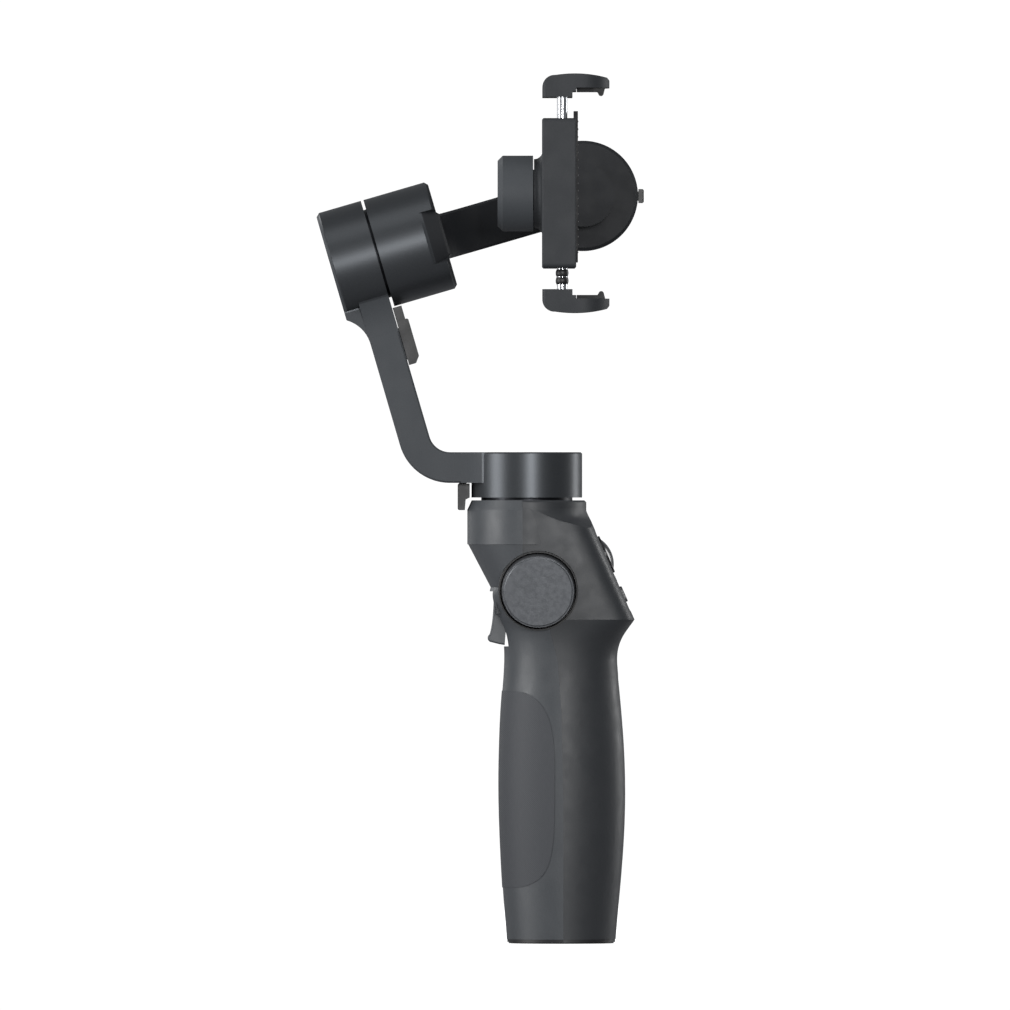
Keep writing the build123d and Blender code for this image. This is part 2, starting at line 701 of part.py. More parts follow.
def motor_magnets(base, depth):
    with BuildPart() as magnets:
        with BuildSketch(base.offset(1.7)):
            Circle(MAGNET_R[1])
            Circle(MAGNET_R[0], mode=Mode.SUBTRACT)
            with PolarLocations(0, 7, angular_range=180):
                Rectangle(40, 0.5, mode=Mode.SUBTRACT)
        extrude(amount=depth - 4.2 - 1.7)
    return magnets


def motor_bearings(base, depth):
    with BuildPart() as bearings:
        for start in (-FLANGE_SEAT - 1.6, depth - 6.9):
            add(disc(base, BEARING_R, start, start + 2.5, bore=SHAFT_R + SHAFT_FIT))
            add(disc(base, 3.9, start - 1, start + 0.2, bore=2.8), mode=Mode.SUBTRACT)
            add(disc(base, 3.9, start + 2.3, start + 3.5, bore=2.8), mode=Mode.SUBTRACT)
    return bearings


def motor_shaft(base, depth):
    with BuildPart() as shaft:
        add(disc(base, SHAFT_R, -FLANGE_SEAT - 1.8, depth - 0.8))
        chamfer(shaft.edges().filter_by(GeomType.CIRCLE), length=0.25)
    return shaft


def rotor_can(base, depth, rim=1.0):
    """Solid round can whose closed end has a chamfered rim."""
    with BuildPart() as can:
        with BuildSketch(base):
            Circle(MOTOR_R)
        extrude(amount=depth)
        chamfer(can.faces().sort_by_distance(base.offset(100).origin)[0].edges(), length=rim)
    return can.part


def can_pocket(base, depth):
    """Room for stator and magnets inside a can, with a boss left round the shaft."""
    with BuildPart() as pocket:
        add(disc(base, MAGNET_R[1], -1, depth - CAN_WALL))
        add(disc(base, 5.0, depth - 3.6, depth - CAN_WALL), mode=Mode.SUBTRACT)
        add(disc(base, SHAFT_R, -1, depth - 0.8))
    return pocket.part


ROLL_BASE = across_roll(ROLL_SPLIT_U, facing=-1)
ROLL_POCKET = 14.0                     # the roll motor fills this much of its long can
TILT_BASE = Plane(origin=(TILT_X, TILT_CAN_Y, TILT_Z), x_dir=(1, 0, 0), z_dir=(0, -1, 0))
PAN_DEPTH = ARM_TOP - PAN_CAN_Z
TILT_DEPTH = TILT_CAN_Y - TILT_ARM_Y[1]
MOTORS = {"pan": (PAN_SPLIT, PAN_DEPTH), "roll": (ROLL_BASE, ROLL_POCKET), "tilt": (TILT_BASE, TILT_DEPTH)}

for motor_name, (base, depth) in MOTORS.items():
    save(motor_mount(base, depth), f"{motor_name}_mount")
    save(motor_stator(base, depth), f"{motor_name}_stator")
    save(motor_magnets(base, depth), f"{motor_name}_magnets")
    save(motor_bearings(base, depth), f"{motor_name}_bearings")
    save(motor_shaft(base, depth), f"{motor_name}_shaft")


def stator_housing(split, length):
    """Ring-shaped housing behind a motor's split line; the split plane faces away from the rotor."""
    with BuildPart() as can:
        add(disc(split, MOTOR_R, GAP, length))
    return can.part


def housing_pocket(split, length):
    with BuildPart() as pocket:
        add(disc(split, FLANGE_BORE, 0, FLANGE_SEAT))
        add(disc(split, 12.5, 0, FLANGE_SEAT + 3))
        add(disc(split, MOTOR_R - WALL, FLANGE_SEAT + 2.2, length + 1))
    return pocket.part


def back_cap(split, length, thickness, rim):
    """Round cover with a spigot that closes the back of a motor housing."""
    with BuildPart() as cap:
        add(disc(split, MOTOR_R, length, length + thickness))
        chamfer(cap.faces().sort_by_distance(split.offset(100).origin)[0].edges(), length=rim)
        add(disc(split, MOTOR_R - WALL - 0.05, length - 2.0, length, bore=MOTOR_R - WALL - 1.6))
    return cap


# ---------------------------------------------------------------- pan arm
OUT_U = UPRIGHT_U + ARM_T
ARM_FOOT = ARM_TOP - ARM_T
ROLL_SPLIT = across_roll(ROLL_SPLIT_U, facing=1)
ROLL_CAP_T = 1.6
ROLL_HOUSING = ROLL_BACK_U - ROLL_CAP_T - ROLL_SPLIT_U
FLARE_W = 12.2
ROLL_LOCK_SLOT = [(UPRIGHT_U - 1, 26.6), (UPRIGHT_U + 3, 26.6), (UPRIGHT_U + 3, 42.4), (UPRIGHT_U - 1, 42.4)]
PAN_LOCK_SLOT = [(-38.8, 158), (-32.7, 158), (-32.7, 163.4), (-38.8, 163.4)]
COVER_PLANE = Plane(origin=roll_point(OUT_U, 49.0), x_dir=(0, 1, 0), z_dir=ROLL_DIR)


def meet(u, height):
    """X and Z where a line square to the roll axis at u comes down to a height."""
    v = (TILT_Z - u * LEAN_S - height) / LEAN_C
    return (TILT_X - u * LEAN_C + v * LEAN_S, height)


with BuildPart() as pan_arm:
    outer_corner = meet(OUT_U, ARM_FOOT)
    inner_corner = meet(UPRIGHT_U, ARM_TOP)
    with BuildSketch(Plane.XZ) as bar:
        with BuildLine():
            Polyline(
                (PAN_X, ARM_FOOT),
                outer_corner,
                (roll_point(OUT_U).X, roll_point(OUT_U).Z),
                (roll_point(UPRIGHT_U).X, roll_point(UPRIGHT_U).Z),
                inner_corner,
                (PAN_X, ARM_TOP),
                close=True,
            )
        make_face()
        fillet(bar.vertices().sort_by_distance(outer_corner)[0], radius=18.0)
        fillet(bar.vertices().sort_by_distance(inner_corner)[0], radius=7.5)
    extrude(amount=ARM_W / 2, both=True)
    flanks = pan_arm.faces().sort_by(Axis.Y)
    chamfer(flanks[0].edges() + flanks[-1].edges(), length=0.6)
    with BuildSketch(Plane.XY.offset(ARM_FOOT)):
        with BuildLine():
            TangentArc((-35, -ARM_W / 2), (-27.2, -FLARE_W), tangent=(1, 0))
            Polyline((-27.2, -FLARE_W), (PAN_X, -FLARE_W), (PAN_X, FLARE_W), (-27.2, FLARE_W))
            TangentArc((-35, ARM_W / 2), (-27.2, FLARE_W), tangent=(1, 0))
            Line((-35, ARM_W / 2), (-35, -ARM_W / 2))
        make_face()
    extrude(amount=ARM_T)
    with BuildSketch(across_roll(UPRIGHT_U)):
        with BuildLine():
            TangentArc((-ARM_W / 2, 28), (-FLARE_W - 0.6, 14), tangent=(0, -1))
            Polyline((-FLARE_W - 0.6, 14), (-FLARE_W - 0.6, 4), (FLARE_W + 0.6, 4), (FLARE_W + 0.6, 14))
            TangentArc((ARM_W / 2, 28), (FLARE_W + 0.6, 14), tangent=(0, -1))
            Line((ARM_W / 2, 28), (-ARM_W / 2, 28))
        make_face()
    extrude(amount=ARM_T)
    with BuildSketch(SIDE_PLANE):
        with BuildLine():
            TangentArc((OUT_U, 29.7), (ROLL_BACK_U, MOTOR_R), tangent=(0, -1))
            Polyline((ROLL_BACK_U, MOTOR_R), (ROLL_BACK_U, 10), (OUT_U - 1, 10))
            Polyline((OUT_U - 1, 10), (OUT_U - 1, 29.7), (OUT_U, 29.7))
        make_face()
    extrude(amount=ARM_W / 2, both=True)
    add(disc(ROLL_SPLIT, MOTOR_R, ROLL_HOUSING, ROLL_HOUSING + 10), mode=Mode.SUBTRACT)
    add(stator_housing(ROLL_SPLIT, ROLL_HOUSING))
    add(housing_pocket(ROLL_SPLIT, ROLL_HOUSING), mode=Mode.SUBTRACT)
    add(rotor_can(PAN_SPLIT, PAN_DEPTH, rim=0.5))
    add(can_pocket(PAN_SPLIT, PAN_DEPTH), mode=Mode.SUBTRACT)
    add(slab(COVER_PLANE, 13.0, 28.0, -1.2, 1.0, corner=3.0), mode=Mode.SUBTRACT)
    add(profile_block(SIDE_PLANE, ROLL_LOCK_SLOT, 2.2), mode=Mode.SUBTRACT)
    add(profile_block(Plane.XZ, PAN_LOCK_SLOT, 2.2), mode=Mode.SUBTRACT)
save(pan_arm, "pan_arm")

with BuildPart() as pan_arm_cover:
    add(slab(COVER_PLANE, 12.8, 27.8, -1.15, 0.0, corner=2.9))
    for v in (-10.5, 10.5):
        screw = Plane(origin=roll_point(OUT_U, 49.0 + v), z_dir=ROLL_DIR)
        add(disc(screw, 1.3, -0.5, 1.0), mode=Mode.SUBTRACT)
save(pan_arm_cover, "pan_arm_cover")

save(back_cap(ROLL_SPLIT, ROLL_HOUSING, ROLL_CAP_T, 1.2), "roll_back_cap")

LOCK_BACK_U = UPRIGHT_U - 0.2
ROLL_LOCK_KNOB = [(LOCK_BACK_U, 24.6), (70.9, 24.6), (70.9, 38.2), (72.6, 40.4), (LOCK_BACK_U, 40.4)]
ROLL_LOCK_TONGUE = [(LOCK_BACK_U, 19.7), (71.9, 19.7), (71.9, 25), (LOCK_BACK_U, 25)]
ROLL_LOCK_KEY = [(UPRIGHT_U - 1, 27), (UPRIGHT_U + 2.7, 27), (UPRIGHT_U + 2.7, 38.4), (UPRIGHT_U - 1, 38.4)]
with BuildPart() as roll_lock:
    add(profile_block(SIDE_PLANE, ROLL_LOCK_KNOB, 4.6))
    fillet(roll_lock.edges().filter_by(Axis.Y).sort_by_distance(roll_point(70.9, 24.6))[:1], radius=0.6)
    add(profile_block(SIDE_PLANE, ROLL_LOCK_TONGUE, 2.6))
    add(profile_block(SIDE_PLANE, ROLL_LOCK_KEY, 1.9))
save(roll_lock, "roll_lock")

PAN_LOCK_TAB = [
    (-36.1, 160.2),
    (-36.1, 150.9),
    (-33.6, 150.9),
    (-33.3, 154.6),
    (-31.9, 155.3),
    (-31.9, 160.2),
]
PAN_LOCK_KEY = [(-35.6, 160.0), (-33.0, 160.0), (-33.0, 163.1), (-35.6, 163.1)]
with BuildPart() as pan_lock:
    add(profile_block(Plane.XZ, PAN_LOCK_TAB, 5.0))
    chamfer(pan_lock.faces().sort_by(Axis.X)[0].edges(), length=0.4)
    add(profile_block(Plane.XZ, PAN_LOCK_KEY, 1.9))
save(pan_lock, "pan_lock")

# ---------------------------------------------------------------- roll arm
BAR_IN = (50.4, 71.4)                  # inner corner of the bar, u and Y
BAR_OUT = (60.4, 81.0)
TILT_SPLIT = Plane(origin=(TILT_X, TILT_CAN_Y, TILT_Z), x_dir=(1, 0, 0), z_dir=(0, 1, 0))
TILT_CAP_T = 1.6
TILT_HOUSING = TILT_BACK_Y - TILT_CAP_T - TILT_CAN_Y
ROLL_CAN = ROLL_SPLIT_U - ROLL_FRONT_U

ROLL_AXIS = Axis(TILT_POINT, ROLL_DIR)
FACET_ARC = 58                         # degrees of the can's rim that the facet takes
with BuildPart() as facet:
    with BuildSketch(ARM_PLANE):
        with BuildLine():
            Polyline((57.3, -MOTOR_R - 0.05), (ROLL_FRONT_U - 0.1, -16.9), (ROLL_FRONT_U - 0.1, -22))
            Polyline((ROLL_FRONT_U - 0.1, -22), (57.3, -22), (57.3, -MOTOR_R - 0.05))
        make_face()
    revolve(axis=ROLL_AXIS, revolution_arc=FACET_ARC)

with BuildPart() as roll_arm:
    with BuildSketch(ARM_PLANE) as bar:
        with BuildLine():
            Polyline(BAR_IN, (BAR_IN[0], -13), (BAR_OUT[0], -13), BAR_OUT)
            Polyline(BAR_OUT, (12, BAR_OUT[1]), (12, BAR_IN[1]), BAR_IN)
        make_face()
        fillet(bar.vertices().sort_by_distance(BAR_OUT)[0], radius=24.0)
        fillet(bar.vertices().sort_by_distance(BAR_IN)[0], radius=14.0)
    extrude(amount=ROLL_BAR_H / 2, both=True)
    broad = roll_arm.faces().sort_by(Axis(TILT_POINT, DOWN_DIR))
    chamfer(broad[0].edges() + broad[-1].edges(), length=0.8)
    add(rotor_can(ROLL_BASE, ROLL_CAN, rim=1.2))
    add(facet.part.rotate(ROLL_AXIS, -FACET_ARC / 2), mode=Mode.SUBTRACT)
    add(can_pocket(ROLL_BASE, ROLL_POCKET), mode=Mode.SUBTRACT)
    add(stator_housing(TILT_SPLIT, TILT_HOUSING))
    add(housing_pocket(TILT_SPLIT, TILT_HOUSING), mode=Mode.SUBTRACT)
    add(profile_block(Plane(origin=(TILT_X + 20, 0, TILT_Z), x_dir=(0, 1, 0), z_dir=(1, 0, 0)),
                      [(73.6, -1.9), (82.0, -1.9), (82.0, 1.9), (73.6, 1.9)], 2.0), mode=Mode.SUBTRACT)
save(roll_arm, "roll_arm")

save(back_cap(TILT_SPLIT, TILT_HOUSING, TILT_CAP_T, 1.0), "tilt_back_cap")

with BuildPart() as tilt_lock:
    with BuildSketch(Plane(origin=(TILT_X + 19.5, 0, TILT_Z), x_dir=(0, 1, 0), z_dir=(1, 0, 0))):
        with Locations((75.5, 0)):
            Rectangle(7.0, 4.9)
    extrude(amount=1.9)
    chamfer(tilt_lock.faces().sort_by(Axis.X)[-1].edges(), length=0.4)
    with BuildSketch(Plane(origin=(TILT_X + 18.2, 0, TILT_Z), x_dir=(0, 1, 0), z_dir=(1, 0, 0))):
        with Locations((76.2, 0)):
            Rectangle(4.4, 3.2)
    extrude(amount=1.4)
save(tilt_lock, "tilt_lock")

# ---------------------------------------------------------------- tilt arm
HUB_X = (-30.0, -17.6)
JOURNAL_R = 6.0
JOURNAL_END = -26.5
SWIVEL_BASE = Plane(origin=TILT_POINT, x_dir=(0, 1, 0), z_dir=(1, 0, 0))       # normal along the swivel axis

with BuildPart() as tilt_bar:
    with BuildSketch(Plane(origin=TILT_POINT)) as bar:
        with BuildLine():
            Polyline((-28.5, 0), (-19.5, 0), (-19.5, TILT_ARM_Y[0]), (0, TILT_ARM_Y[0]))
            Polyline((0, TILT_ARM_Y[0]), (0, TILT_ARM_Y[1]), (-28.5, TILT_ARM_Y[1]), (-28.5, 0))
        make_face()
        fillet(bar.vertices().sort_by_distance((-28.5, TILT_ARM_Y[1]))[0], radius=15.0)
        fillet(bar.vertices().sort_by_distance((-19.5, TILT_ARM_Y[0]))[0], radius=6.0)
    extrude(amount=9.0, both=True)
    flanks = tilt_bar.faces().sort_by(Axis.Z)
    chamfer(flanks[0].edges() + flanks[-1].edges(), length=0.8)

with BuildPart() as tilt_arm:
    add(disc(SWIVEL_BASE, HUB_R, *HUB_X))
    chamfer(tilt_arm.faces().sort_by(Axis.X)[0].edges(), length=1.8)
    add(tilt_bar.part)
    add(disc(TILT_BASE, 11.0, TILT_DEPTH - 0.5, TILT_DEPTH + 9.0))
    add(rotor_can(TILT_BASE, TILT_DEPTH, rim=1.0))
    add(can_pocket(TILT_BASE, TILT_DEPTH), mode=Mode.SUBTRACT)
    add(disc(SWIVEL_BASE, JOURNAL_R + 0.05, JOURNAL_END - 0.3, 0), mode=Mode.SUBTRACT)
    add(disc(SWIVEL_BASE, 9.55, HUB_X[0] - 1, HUB_X[0] + 1.3), mode=Mode.SUBTRACT)
save(tilt_arm, "tilt_arm")

with BuildPart() as hub_cap:
    add(disc(SWIVEL_BASE, 9.5, HUB_X[0], HUB_X[0] + 1.3))
    chamfer(hub_cap.faces().sort_by(Axis.X)[0].edges(), length=0.4)
save(hub_cap, "hub_cap")

# ---------------------------------------------------------------- clamp body
CAVITY_FRONT = -4.9
PLATE_T = 1.6
AXLE_R = 1.2
PAD_X = (-3.5, -2.0)


def clamp_plane(x, flip=1):
    """Square to X, measured from the tilt axis; flip -1 is the view for the lower jaw."""
    return Plane(origin=TILT_POINT + Vector(x, 0, 0), x_dir=(0, flip, 0), z_dir=(1, 0, 0))


with BuildPart() as clamp_body:
    add(slab(clamp_plane(0), CLAMP_W, BODY_H, BODY_BACK, BODY_FRONT, corner=1.6))
    ends = clamp_body.faces().sort_by(Axis.X)
    chamfer(ends[0].edges() + ends[-1].edges(), length=0.5)
    add(slab(clamp_plane(0), CLAMP_W - 2.8, BODY_H - 5.2, BODY_BACK - 1, CAVITY_FRONT), mode=Mode.SUBTRACT)
    for flip in (1, -1):
        for side in (-1, 1):
            rib = Plane(origin=TILT_POINT + Vector(0, side * 10.35, flip * 10.0))
            with BuildSketch(rib.offset(-2)):
                with Locations(((CAVITY_FRONT + BODY_BACK + PLATE_T) / 2, 0)):
                    Rectangle(CAVITY_FRONT - BODY_BACK - PLATE_T, 8.5)
            extrude(amount=4)
        rod_y = UPPER_ROD_Y if flip == 1 else LOWER_ROD_Y
        wall_r = ROD_R + ROD_FIT if flip == 1 else 2.4
        for side in (-1, 1):
            guide = Plane(origin=TILT_POINT + Vector(ROD_X, side * rod_y, 0), z_dir=(0, 0, flip))
            add(disc(guide, ROD_R + ROD_FIT, 6.0, 20.0), mode=Mode.SUBTRACT)
            add(disc(guide, wall_r, 20.0, 30.0), mode=Mode.SUBTRACT)
        with BuildSketch(Plane(origin=TILT_POINT, x_dir=(1, 0, 0), z_dir=(0, 0, flip)).offset(22)):
            with Locations((ROD_X, 4.15)):
                Rectangle(4.0, 3.6)
        extrude(amount=6, mode=Mode.SUBTRACT)
    add(disc(clamp_plane(0), AXLE_R + 0.05, CAVITY_FRONT - 1, CAVITY_FRONT + 1.0), mode=Mode.SUBTRACT)
    with BuildSketch(clamp_plane(PAD_X[0])):
        with Locations((0, 2.3)):
            RectangleRounded(26.1, 52.7, 4.0)
    extrude(amount=4, mode=Mode.SUBTRACT)
save(clamp_body, "clamp_body")

with BuildPart() as clamp_back:
    add(slab(clamp_plane(0), CLAMP_W - 3.0, BODY_H - 5.4, BODY_BACK, BODY_BACK + PLATE_T))
    with BuildSketch(Plane(origin=TILT_POINT, x_dir=(1, 0, 0), z_dir=(0, -1, 0))):
        with BuildLine():
            Polyline((JOURNAL_END, 0), (JOURNAL_END, JOURNAL_R), (-17.3, JOURNAL_R), (-17.3, 12.0))
            ThreePointArc((-17.3, 12.0), (-15.6, 12.5), (BODY_BACK, 13.9))
            Polyline((BODY_BACK, 13.9), (BODY_BACK, 0), (JOURNAL_END, 0))
        make_face()
    revolve(axis=Axis(TILT_POINT, (1, 0, 0)))
    add(disc(clamp_plane(0), AXLE_R + 0.05, -13.6, 0), mode=Mode.SUBTRACT)
save(clamp_back, "clamp_back")

with BuildPart() as clamp_pad:
    with BuildSketch(clamp_plane(PAD_X[0])):
        with Locations((0, 2.3)):
            RectangleRounded(26.0, 52.6, 4.0)
    extrude(amount=PAD_X[1] - PAD_X[0])
save(clamp_pad, "clamp_pad")

# ---------------------------------------------------------------- rack and pinion
PRESSURE = radians(20)
BASE_R = PITCH_R * cos(PRESSURE)
RACK_TIP = 0.65 * MODULE
PINION_TIP = 0.9 * MODULE
CLEAR = 0.15
GEAR_X = (-9.1, -5.9)


def roll_off(radius):
    """The involute function at a radius of the pinion."""
    ratio = (radius / BASE_R) ** 2 - 1
    lead = max(ratio, 0) ** 0.5
    return lead - atan(lead)


def flank(radius):
    """Half of a pinion tooth's angle at a radius."""
    pitch_half = pi / (2 * TEETH) - BACKLASH / (4 * PITCH_R)
    return pitch_half + roll_off(PITCH_R) - roll_off(max(radius, BASE_R))


with BuildPart() as sync_pinion:
    root = PITCH_R - RACK_TIP - CLEAR
    radii = [root - 0.2] + [root + step * (PITCH_R + PINION_TIP - root) / 6 for step in range(7)]
    with BuildSketch(clamp_plane(GEAR_X[0] + 0.1)):
        Circle(radii[1])
        for tooth in range(TEETH):
            middle = 2 * pi * tooth / TEETH
            low = [(r * cos(middle - flank(r)), r * sin(middle - flank(r))) for r in radii]
            high = [(r * cos(middle + flank(r)), r * sin(middle + flank(r))) for r in radii]
            with BuildLine():
                Polyline(*low, *reversed(high), close=True)
            make_face()
    extrude(amount=GEAR_X[1] - GEAR_X[0] - 0.2)
    add(disc(clamp_plane(0), AXLE_R, -13.4, CAVITY_FRONT + 0.8))
save(sync_pinion, "sync_pinion")


def rack_outline(flip):
    """Toothed bar beside the pinion, in the plane square to X."""
    pitch = pi * MODULE
    root = PITCH_R + PINION_TIP + 0.12
    with BuildSketch(clamp_plane(GEAR_X[0], flip)) as rack:
        with Locations((root, -10.9)):
            Rectangle(5.5 - root, 46.0, align=(Align.MIN, Align.MIN))
        half = pitch / 4 - BACKLASH / 4
        lean = tan(PRESSURE)
        for step in range(-6, 6):
            middle = pitch * (step + 0.5)
            tip = half - RACK_TIP * lean
            foot = half + (root - PITCH_R) * lean
            with BuildLine():
                Polyline(
                    (root + 0.2, middle - foot),
                    (root, middle - foot),
                    (PITCH_R - RACK_TIP, middle - tip),
                    (PITCH_R - RACK_TIP, middle + tip),
                    (root, middle + foot),
                    (root + 0.2, middle + foot),
                    close=True,
                )
            make_face()
    return rack.sketch


# ---------------------------------------------------------------- jaws
JAW_BACK = -14.4
JAW_TIP = 9.0


def jaw(flip):
    """One jaw, drawn for the upper side; flip -1 turns it over for the lower side."""
    side_view = Plane(origin=TILT_POINT, x_dir=(1, 0, 0), z_dir=(0, -flip, 0))
    with BuildPart() as body:
        with BuildSketch(side_view):
            with BuildLine():
                Line((JAW_BACK, JAW_REST), (JAW_BACK, 36.9))
                ThreePointArc((JAW_BACK, 36.9), (-13.1, 39.9), (-9.9, 41.1))
                ThreePointArc((-9.9, 41.1), (-1.5, JAW_OUT), (8.2, 40.2))
                Polyline((8.2, 40.2), (JAW_TIP, 39.2), (JAW_TIP, 36.7), (-2.6, 36.7), (-2.6, 35.5))
                Polyline((-2.6, 35.5), (-3.9, 35.5), (-3.9, JAW_REST), (JAW_BACK, JAW_REST))
            make_face()
        extrude(amount=CLAMP_W / 2, both=True)
        with BuildSketch(Plane(origin=TILT_POINT + Vector(0, 0, flip * 30))) as plan:
            with Locations(((JAW_BACK + JAW_TIP) / 2, 0)):
                Rectangle(JAW_TIP - JAW_BACK, CLAMP_W)
            fillet(plan.vertices().group_by(Axis.X)[-1], radius=10.0)
            fillet(plan.vertices().group_by(Axis.X)[0], radius=1.6)
        extrude(amount=flip * 20, mode=Mode.INTERSECT)
        extrude(rack_outline(flip), amount=GEAR_X[1] - GEAR_X[0], dir=(1, 0, 0))
        rod_y = UPPER_ROD_Y if flip == 1 else LOWER_ROD_Y
        for side in (-1, 1):
            socket = Plane(origin=TILT_POINT + Vector(ROD_X, side * rod_y, 0), z_dir=(0, 0, flip))
            add(disc(socket, ROD_R, JAW_REST - 1, 37.6), mode=Mode.SUBTRACT)
    return body


def jaw_pad(flip):
    """Rubber lining with the small lip that keeps the phone from sliding out."""
    side_view = Plane(origin=TILT_POINT, x_dir=(1, 0, 0), z_dir=(0, -flip, 0))
    with BuildPart() as lining:
        with BuildSketch(side_view):
            with BuildLine():
                Polyline((-2.4, 36.7), (-2.4, GRIP_REST), (4.8, GRIP_REST), (5.2, 34.8))
                ThreePointArc((5.2, 34.8), (6.1, 34.1), (7.0, 34.8))
                Polyline((7.0, 34.8), (7.5, 36.7), (-2.4, 36.7))
            make_face()
        extrude(amount=11.5, both=True)
    return lining


def jaw_rods(flip):
    rod_y = UPPER_ROD_Y if flip == 1 else LOWER_ROD_Y
    with BuildPart() as rods:
        for side in (-1, 1):
            line = Plane(origin=TILT_POINT + Vector(ROD_X, side * rod_y, 0), z_dir=(0, 0, flip))
            add(disc(line, ROD_R, 2.0, 37.5))
        chamfer(rods.edges().filter_by(GeomType.CIRCLE), length=0.3)
    return rods


for jaw_name, flip in (("upper", 1), ("lower", -1)):
    body = jaw(flip)
    save(body, f"{jaw_name}_jaw")
    save(jaw_pad(flip), f"{jaw_name}_jaw_pad")
    save(jaw_rods(flip), f"{jaw_name}_rods")

with BuildPart() as lower_sleeves:
    for side in (-1, 1):
        foot = TILT_POINT + Vector(ROD_X, side * LOWER_ROD_Y, 0)
        for start in (26.5, 29.2):
            with BuildSketch(Plane(origin=foot, x_dir=(1, 0, 0), z_dir=(0, 1, 0))):
                with BuildLine():
                    Polyline((ROD_R, start), (ROD_R + 0.1, start))
                    crown = (ROD_R + 0.45, start + 1.25)
                    ThreePointArc((ROD_R + 0.1, start), crown, (ROD_R + 0.1, start + 2.5))
                    Polyline((ROD_R + 0.1, start + 2.5), (ROD_R, start + 2.5), (ROD_R, start))
                make_face()
            revolve(axis=Axis(foot, (0, 0, 1)))
save(lower_sleeves, "lower_sleeves")
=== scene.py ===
"""Looks of the handheld phone gimbal: materials, small trim pieces, studio and camera."""
import json
import math

import bmesh
import bpy
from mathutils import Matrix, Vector


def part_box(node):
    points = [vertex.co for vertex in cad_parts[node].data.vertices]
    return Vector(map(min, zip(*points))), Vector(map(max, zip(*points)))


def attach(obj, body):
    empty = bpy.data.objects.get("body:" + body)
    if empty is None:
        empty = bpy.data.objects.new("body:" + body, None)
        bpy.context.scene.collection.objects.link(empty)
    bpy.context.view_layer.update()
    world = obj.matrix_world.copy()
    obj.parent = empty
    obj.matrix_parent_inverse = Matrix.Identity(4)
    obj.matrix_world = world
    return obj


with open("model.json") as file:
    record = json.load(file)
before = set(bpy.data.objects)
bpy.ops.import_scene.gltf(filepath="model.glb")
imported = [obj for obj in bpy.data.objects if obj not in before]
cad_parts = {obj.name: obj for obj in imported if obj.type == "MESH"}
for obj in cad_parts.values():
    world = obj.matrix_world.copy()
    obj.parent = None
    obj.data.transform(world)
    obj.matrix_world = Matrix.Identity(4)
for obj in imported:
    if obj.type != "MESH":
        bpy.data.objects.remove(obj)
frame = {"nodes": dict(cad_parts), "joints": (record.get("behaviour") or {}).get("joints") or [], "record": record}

MM = 0.001
nodes = frame["nodes"]
joints = {joint["name"]: joint for joint in frame["joints"]}
